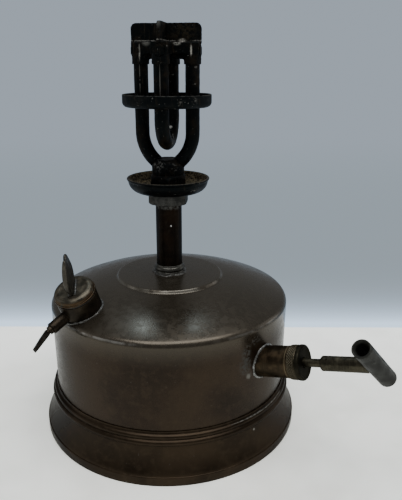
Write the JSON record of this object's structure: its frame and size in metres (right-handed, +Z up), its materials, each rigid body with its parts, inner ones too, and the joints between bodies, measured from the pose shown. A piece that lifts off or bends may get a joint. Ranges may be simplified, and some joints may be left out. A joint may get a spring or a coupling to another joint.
{
  "type": "kerosene pressure stove",
  "caption": "Table-top brass pressure stove: round tank on a flared foot, hand pump, filler cap with vent screw, and a tube burner with cross-shaped head over a spirit cup.",
  "frame": {"origin": "on the floor under the middle of the tank, at the foot's lower edge", "axes": "+Z up along the tank and riser, the pump to the right and front (+X, -Y), the filler to the left and front (-X, -Y)"},
  "size_m": [0.2172, 0.1996, 0.2623],
  "materials": {
    "tank_brass": "satin, dark bronze patina",
    "foot_brass": "satin, dark bronze patina",
    "fitting_brass": "worn satin brass",
    "turned_brass": "turned, slightly tarnished",
    "sooty_brass": "matt soot on brass",
    "sooty_steel": "matt soot and scale",
    "soft_solder": "dull solder",
    "handle_metal": "dull plated",
    "steel": "satin",
    "leather": "oiled",
    "rubber": "matt",
    "gauze": "fine gauze"
  },
  "bodies": {
    "stove": {"tank_shell": "tank_brass", "foot_skirt": "foot_brass", "tank_bottom": "tank_brass", "riser_collar": "fitting_brass", "riser_solder_ring": "soft_solder", "riser_tube": "sooty_brass", "riser_nut": "fitting_brass", "pickup_tube": "turned_brass", "fuel_strainer": "gauze", "spirit_cup": "sooty_brass", "burner_washer": "sooty_steel", "burner_hub": "sooty_brass", "rising_tube_left": "sooty_brass", "rising_tube_right": "sooty_brass", "return_tube": "sooty_brass", "jet_nipple": "sooty_brass", "burner_head": "sooty_brass", "channel_plugs": "sooty_brass", "flame_dish": "sooty_steel", "pump_barrel": "turned_brass", "barrel_end_plug": "turned_brass", "pump_solder_ring": "soft_solder", "pump_cap": "turned_brass", "check_valve_body": "turned_brass", "check_valve_spring": "steel", "filler_neck": "fitting_brass", "filler_solder_ring": "soft_solder"},
    "pump_cup": {"pump_leather": "leather"},
    "plunger": {"pump_rod": "fitting_brass", "piston_nut": "turned_brass", "piston_front_washer": "turned_brass", "piston_back_washer": "turned_brass", "handle_sleeve": "fitting_brass", "pump_handle": "handle_metal"},
    "valve_disc": {"check_valve_disc": "rubber"},
    "cap_seal": {"filler_gasket": "rubber"},
    "cap": {"filler_cap": "fitting_brass", "cap_wing": "fitting_brass"},
    "vent_seal": {"vent_washer": "fitting_brass"},
    "vent": {"vent_screw": "fitting_brass", "vent_lever": "fitting_brass"}
  },
  "joints": [
    {"name": "pump_slide", "type": "slide", "parent": "stove", "child": "pump_cup", "axis": [0.7954, -0.5549, 0.2436], "range_m": [-0.01, 0.06]},
    {"name": "pump_turn", "type": "hinge", "parent": "pump_cup", "child": "plunger", "pos_m": [0.1128, -0.09393, 0.08104], "axis": [0.7954, -0.5549, 0.2436], "continuous": true},
    {"name": "valve_lift", "type": "slide", "parent": "stove", "child": "valve_disc", "axis": [-0.7954, 0.5549, -0.2436], "range_m": [0, 0.0015], "stiffness_N_per_m": 60, "springref_m": -0.0004, "deforming": ["check_valve_spring"]},
    {"name": "cap_lift", "type": "slide", "parent": "stove", "child": "cap_seal", "axis": [-0.2073, -0.3591, 0.91], "range_m": [0, 0.00375]},
    {"name": "cap_turn", "type": "hinge", "parent": "cap_seal", "child": "cap", "pos_m": [-0.05688, -0.04484, 0.10669], "axis": [-0.2073, -0.3591, 0.91], "range_deg": [0, 905]},
    {"name": "vent_lift", "type": "slide", "parent": "stove", "child": "vent_seal", "axis": [-0.6699, -0.6258, -0.3996], "range_m": [0, 0.0015]},
    {"name": "vent_turn", "type": "hinge", "parent": "vent_seal", "child": "vent", "pos_m": [-0.07037, -0.05598, 0.08944], "axis": [-0.6699, -0.6258, -0.3996], "range_deg": [0, 545]}
  ],
  "couplings": [
    {"joint": "cap_turn", "follows": "cap_lift", "rad_per_m": 4188.8},
    {"joint": "vent_turn", "follows": "vent_lift", "rad_per_m": 6283.2}
  ]
}
